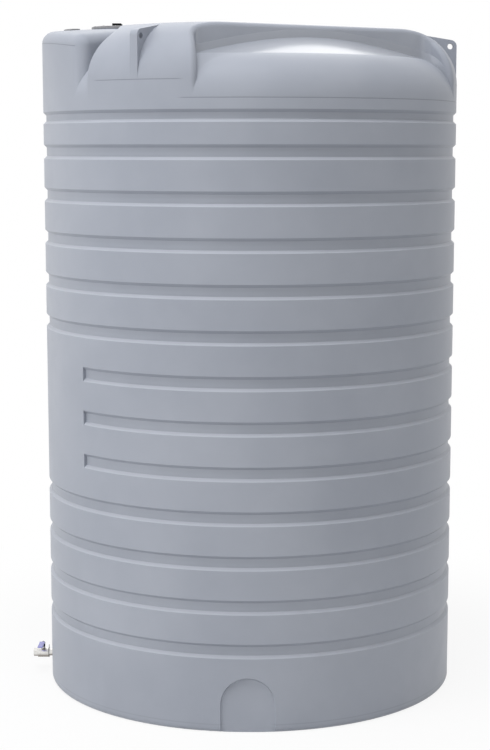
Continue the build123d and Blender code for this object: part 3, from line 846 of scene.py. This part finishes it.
@dataclass
class OutletDetail(SubAssembly):
    """The thread in the valve's open end and the hem of the lever's sleeve."""

    thread_pitch: float = 2.3 * MM
    thread_depth: float = 0.9 * MM
    thread_radius: float = 16.6 * MM
    thread_sunk: float = 0.1 * MM
    thread_flank: float = 0.42
    thread_turns: int = 5
    thread_steps: int = 64
    hem_width: float = 5 * MM
    hem_rise: float = 0.7 * MM
    hem_round: float = 2 * MM
    hem_segments: int = 5

    def thread(self) -> None:
        """Wind a ridge along the wall of the valve's open socket, its foot sunk in the wall."""
        low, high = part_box("valve_end_cap")
        middle = (low + high) / 2
        start = low.x + self.thread_pitch
        flank = self.thread_pitch * self.thread_flank
        foot = middle.z + self.thread_radius + self.thread_sunk
        tip = foot - self.thread_depth
        mesh = bmesh.new()
        ridge = ((start - flank, foot), (start, tip), (start + flank, foot))
        bmesh.ops.spin(
            mesh,
            geom=self.profile(mesh, ((along, middle.y, level) for along, level in ridge)),
            cent=middle,
            axis=(1.0, 0.0, 0.0),
            dvec=(self.thread_pitch / self.thread_steps, 0.0, 0.0),
            angle=math.tau * self.thread_turns,
            steps=self.thread_steps * self.thread_turns,
        )
        bmesh.ops.recalc_face_normals(mesh, faces=mesh.faces)
        self.finish_mesh("socket_thread", mesh, Finish.NICKEL, Body.TANK)

    def hem(self) -> None:
        """Put a rolled hem around the sleeve's open end."""
        low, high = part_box("lever_sleeve")
        middle = (low + high) / 2
        width, _, height = high - low
        rise = 2 * self.hem_rise
        place = Matrix.Translation((middle.x, high.y - self.hem_width / 2, middle.z))
        mesh = bmesh.new()
        self.block(mesh, (width + rise, self.hem_width, height + rise), place)
        self.round_edges(mesh, self.hem_round, self.hem_segments)
        self.finish_mesh("sleeve_hem", mesh, Finish.BLUE, Body.HANDLE)

    def build(self) -> None:
        """Make the thread and the hem."""
        self.thread()
        self.hem()


@dataclass
class LidDetail(SubAssembly):
    """Moulded rings and grip lugs on the lid, and grip ridges on its knob.

    A ring's profile is given in half widths and rises. The ridges are shifted away from the
    pointed end of the knob's wing.
    """

    crown_rise: float = 2.0 * MM
    ring_radii: tuple[float, ...] = (52 * MM, 104 * MM)
    ring_half_width: float = 2.4 * MM
    ring_rise: float = 1.4 * MM
    ring_sunk: float = 0.3 * MM
    ring_steps: int = 128
    ring_profile: tuple[tuple[float, float], ...] = ((-1, 0), (-0.6, 0.75), (0, 1), (0.6, 0.75), (1, 0))
    lug_count: int = 12
    lug_size: tuple[float, float, float] = (16 * MM, 7 * MM, 2.4 * MM)
    lug_inset: float = 12 * MM
    lug_round: float = 1 * MM
    wing_half: float = 12 * MM
    ridge_count: int = 5
    ridge_pitch: float = 5 * MM
    ridge_shift: float = -5 * MM
    ridge_size: tuple[float, float, float] = (2.2 * MM, 2.6 * MM, 9 * MM)
    ridge_drop: float = 8 * MM
    ridge_round: float = 0.8 * MM
    round_segments: int = 3

    def surface(self, radius: float) -> float:
        """Height of the lid's crown at a radius.

        Args:
            radius: Distance from the lid's axis.

        Returns:
            The height.
        """
        low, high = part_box("inlet_lid")
        share = radius / ((high.x - low.x) / 2)
        return high.z - self.crown_rise * share * share

    def rings(self) -> None:
        """Spin a half round bead at each radius, its foot sunk in the lid."""
        low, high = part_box("inlet_lid")
        middle = (low + high) / 2
        mesh = bmesh.new()
        for radius in self.ring_radii:
            foot = self.surface(radius) - self.ring_sunk
            bead = (
                (middle.x + radius + step * self.ring_half_width, middle.y, foot + lift * self.ring_rise)
                for step, lift in self.ring_profile
            )
            bmesh.ops.spin(
                mesh,
                geom=self.profile(mesh, bead),
                cent=middle,
                axis=(0.0, 0.0, 1.0),
                angle=math.tau,
                steps=self.ring_steps,
                use_merge=True,
            )
        bmesh.ops.remove_doubles(mesh, verts=mesh.verts, dist=self.merge_distance)
        bmesh.ops.recalc_face_normals(mesh, faces=mesh.faces)
        self.finish_mesh("lid_rings", mesh, Finish.GREY, Body.TANK)

    def lugs(self) -> None:
        """Set grip lugs around the lid's edge."""
        low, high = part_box("inlet_lid")
        middle = (low + high) / 2
        radius = (high.x - low.x) / 2 - self.lug_inset
        centre = Matrix.Translation((middle.x, middle.y, self.surface(radius)))
        mesh = bmesh.new()
        for index in range(self.lug_count):
            turn = Matrix.Rotation(math.tau * index / self.lug_count, 4, "Z")
            self.block(mesh, self.lug_size, centre @ turn @ Matrix.Translation((radius, 0.0, 0.0)))
        self.round_edges(mesh, self.lug_round, self.round_segments)
        self.finish_mesh("lid_lugs", mesh, Finish.GREY, Body.TANK)

    def grips(self) -> None:
        """Raise upright ridges on both sides of the knob's wing."""
        low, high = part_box("lid_knob")
        middle = (low + high) / 2
        mesh = bmesh.new()
        for side in (-self.wing_half, self.wing_half):
            for index in range(self.ridge_count):
                step = (index - (self.ridge_count - 1) / 2) * self.ridge_pitch + self.ridge_shift
                place = (middle.x + step, middle.y + side, high.z - self.ridge_drop)
                self.block(mesh, self.ridge_size, Matrix.Translation(place))
        self.round_edges(mesh, self.ridge_round, self.round_segments)
        self.finish_mesh("knob_ridges", mesh, Finish.BLACK, Body.LATCH)

    def build(self) -> None:
        """Make the rings, lugs and ridges."""
        self.rings()
        self.lugs()
        self.grips()


@dataclass(frozen=True)
class Lamp:
    """A soft area lamp that points at a height on the tank's axis."""

    name: str
    place: tuple[float, float, float]
    aim_height: float
    size: tuple[float, float]
    watts: float
    mirrored: bool

    def build(self) -> None:
        """Hang the lamp."""
        data = bpy.data.lights.new(self.name, "AREA")
        data.shape = "RECTANGLE"
        data.size, data.size_y = self.size
        data.energy = self.watts
        lamp = bpy.data.objects.new(self.name, data)
        bpy.context.scene.collection.objects.link(lamp)
        place = Vector(self.place)
        lamp.location = place
        aim = Vector((0.0, 0.0, self.aim_height)) - place
        lamp.rotation_euler = aim.to_track_quat("-Z", "Y").to_euler()
        lamp.visible_glossy = self.mirrored


@dataclass
class Studio:
    """Camera, lamps, floor and the white surroundings.

    The camera follows from a fit to the photograph, in pixels and in radii of the tank. The key and
    top lamps light the tank from the left, and the roof mirrors the wide rear lamp.
    """

    focal_px: float = 1740.4
    principal_px: tuple[float, float] = (249.8, 402.3)
    image_px: tuple[int, int] = (490, 750)
    sensor_mm: float = 36.0
    pitch: float = 8.32
    azimuth: float = 0.5
    distance_in_radii: float = 8.599
    eye_in_radii: float = 2.630
    clip_end: float = 200.0
    lamps: tuple[Lamp, ...] = (
        Lamp("key", (-9.0, -5.0, 4.0), aim_height=1.7, size=(5.0, 5.0), watts=340.0, mirrored=False),
        Lamp("top", (-1.0, -3.0, 11.0), aim_height=3.3, size=(5.0, 5.0), watts=600.0, mirrored=False),
        Lamp("rear", (-1.0, 9.0, 12.2), aim_height=3.3, size=(10.5, 8.4), watts=240.0, mirrored=True),
    )
    ambient: float = 0.42
    floor_size: float = 120.0
    floor_drop: float = 0.5 * MM
    floor_colour: Colour = (0.9, 0.9, 0.9)
    floor_roughness: float = 0.9
    floor_specular: float = 0.1
    floor_glow: float = 0.88
    shadow_reach: tuple[float, float] = (1.3, 3.4)

    def camera(self) -> None:
        """Place the camera as the photograph was taken."""
        width, height = self.image_px
        data = bpy.data.cameras.new("camera")
        data.sensor_width = self.sensor_mm
        data.lens = self.focal_px / height * self.sensor_mm
        data.shift_x = (width / 2 - self.principal_px[0]) / height
        data.shift_y = (self.principal_px[1] - height / 2) / height
        data.clip_end = self.clip_end
        camera = bpy.data.objects.new("camera", data)
        bpy.context.scene.collection.objects.link(camera)
        turn = math.radians(self.azimuth)
        away = self.distance_in_radii * TANK_RADIUS
        camera.location = (away * math.sin(turn), -away * math.cos(turn), self.eye_in_radii * TANK_RADIUS)
        camera.rotation_euler = (math.radians(90 - self.pitch), 0.0, turn)
        bpy.context.scene.camera = camera

    def world(self) -> None:
        """White to the camera and in reflections, and a plain ambient level on the object."""
        world = bpy.data.worlds.new("surroundings")
        bpy.context.scene.world = world
        world.use_nodes = True
        nodes = Nodes(world.node_tree)
        seen = nodes.seen_by("Is Camera Ray", "Is Glossy Ray", "Is Transmission Ray")
        dim, bright = (
            nodes.node("ShaderNodeBackground", inputs={"Color": WHITE, "Strength": strength}).outputs[0]
            for strength in (self.ambient, 1.0)
        )
        mix = nodes.node("ShaderNodeMixShader", inputs={0: seen, 1: dim, 2: bright})
        nodes.node("ShaderNodeOutputWorld", inputs={"Surface": mix.outputs[0]})

    def floor(self) -> None:
        """A plain pale floor that looks white and keeps a faint shadow."""
        mesh = bmesh.new()
        place = Matrix.Translation((0.0, 0.0, -self.floor_drop))
        bmesh.ops.create_grid(mesh, x_segments=1, y_segments=1, size=self.floor_size / 2, matrix=place)
        data = bpy.data.meshes.new("floor")
        mesh.to_mesh(data)
        mesh.free()
        floor = bpy.data.objects.new("floor", data)
        bpy.context.scene.collection.objects.link(floor)
        data.materials.append(self.floor_material())

    def floor_material(self) -> bpy.types.Material:
        """Pale paint that glows for the camera, and fully so beyond the tank's shadow.

        Returns:
            The material.
        """
        shader = Shader("pale_floor")
        shader.set(Base_Color=self.floor_colour, Roughness=self.floor_roughness)
        shader.set(Specular_IOR_Level=self.floor_specular)
        glow = shader.node("ShaderNodeEmission", inputs={"Color": WHITE, "Strength": 1.0}).outputs[0]
        far = shader.radius().ramp(*self.shadow_reach)
        share = self.floor_glow + far * (1.0 - self.floor_glow)
        factor = shader.seen_by("Is Camera Ray", "Is Glossy Ray") * share
        paint = shader.principled.outputs["BSDF"]
        blend = shader.node("ShaderNodeMixShader", inputs={0: factor, 1: paint, 2: glow})
        shader.feed(shader.output.inputs["Surface"], blend.outputs[0])
        return shader.material

    def build(self) -> None:
        """Make the whole studio."""
        bpy.context.scene.view_settings.view_transform = "Standard"
        self.camera()
        for lamp in self.lamps:
            lamp.build()
        self.world()
        self.floor()


def main() -> None:
    """Build the studio and the tank."""
    Studio().build()
    low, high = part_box("valve_body")
    finishes = make_finishes((low + high) / 2)
    for kind in (TankShell, Fittings, OutletDetail, LidDetail):
        assembly = kind(finishes)
        assembly.build()
        LOG.info("%s done: %s", type(assembly).__name__, ", ".join(assembly.made) or "no new pieces")


if __name__ == "__main__":
    main()
